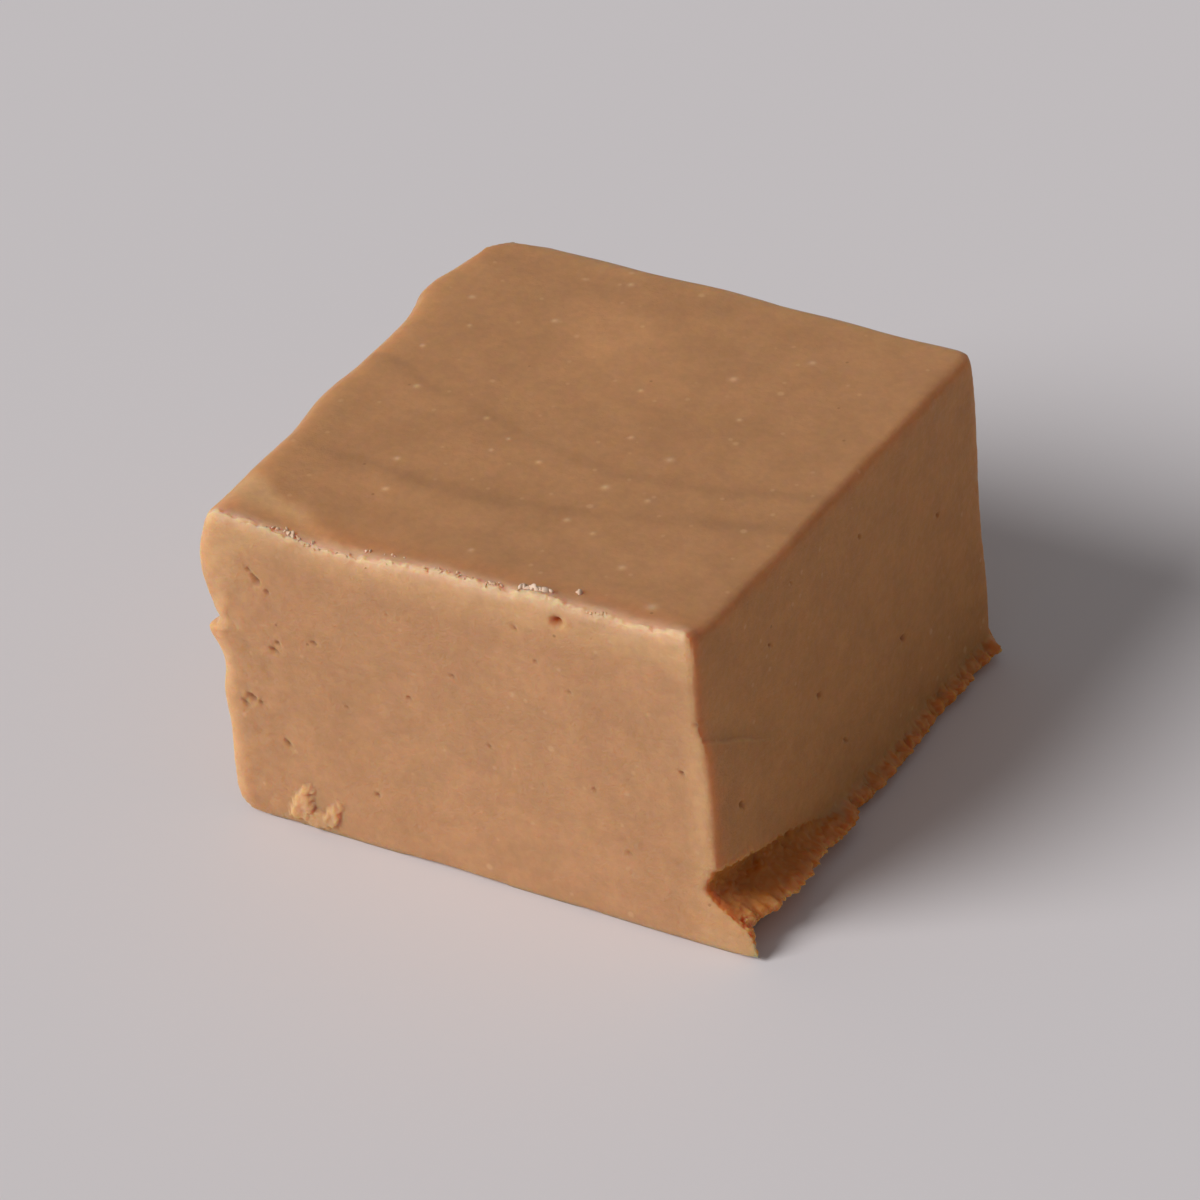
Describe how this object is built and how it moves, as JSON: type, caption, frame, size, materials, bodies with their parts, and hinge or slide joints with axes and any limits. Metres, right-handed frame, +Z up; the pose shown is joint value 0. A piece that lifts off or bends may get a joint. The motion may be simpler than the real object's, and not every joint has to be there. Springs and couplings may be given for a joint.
{
  "type": "fudge cube",
  "caption": "Square-cut piece of light brown fudge: rounded tray corner at the back left, cut front and right sides, and a torn ragged foot on the right.",
  "frame": {"origin": "middle of the bounding box of the piece, at the base it rests on", "axes": "+Z up, as it lies on its own base; the cut front side faces -Y, the cut side with the torn foot faces +X, and the tray corner is at -X +Y"},
  "size_m": [0.0408, 0.038, 0.0248],
  "materials": {
    "fudge": "cooked milk fudge: satin skin on top, dull fine-grained cut sides, slightly translucent at the edges"
  },
  "bodies": {
    "root": {"fudge": "fudge"}
  },
  "joints": []
}
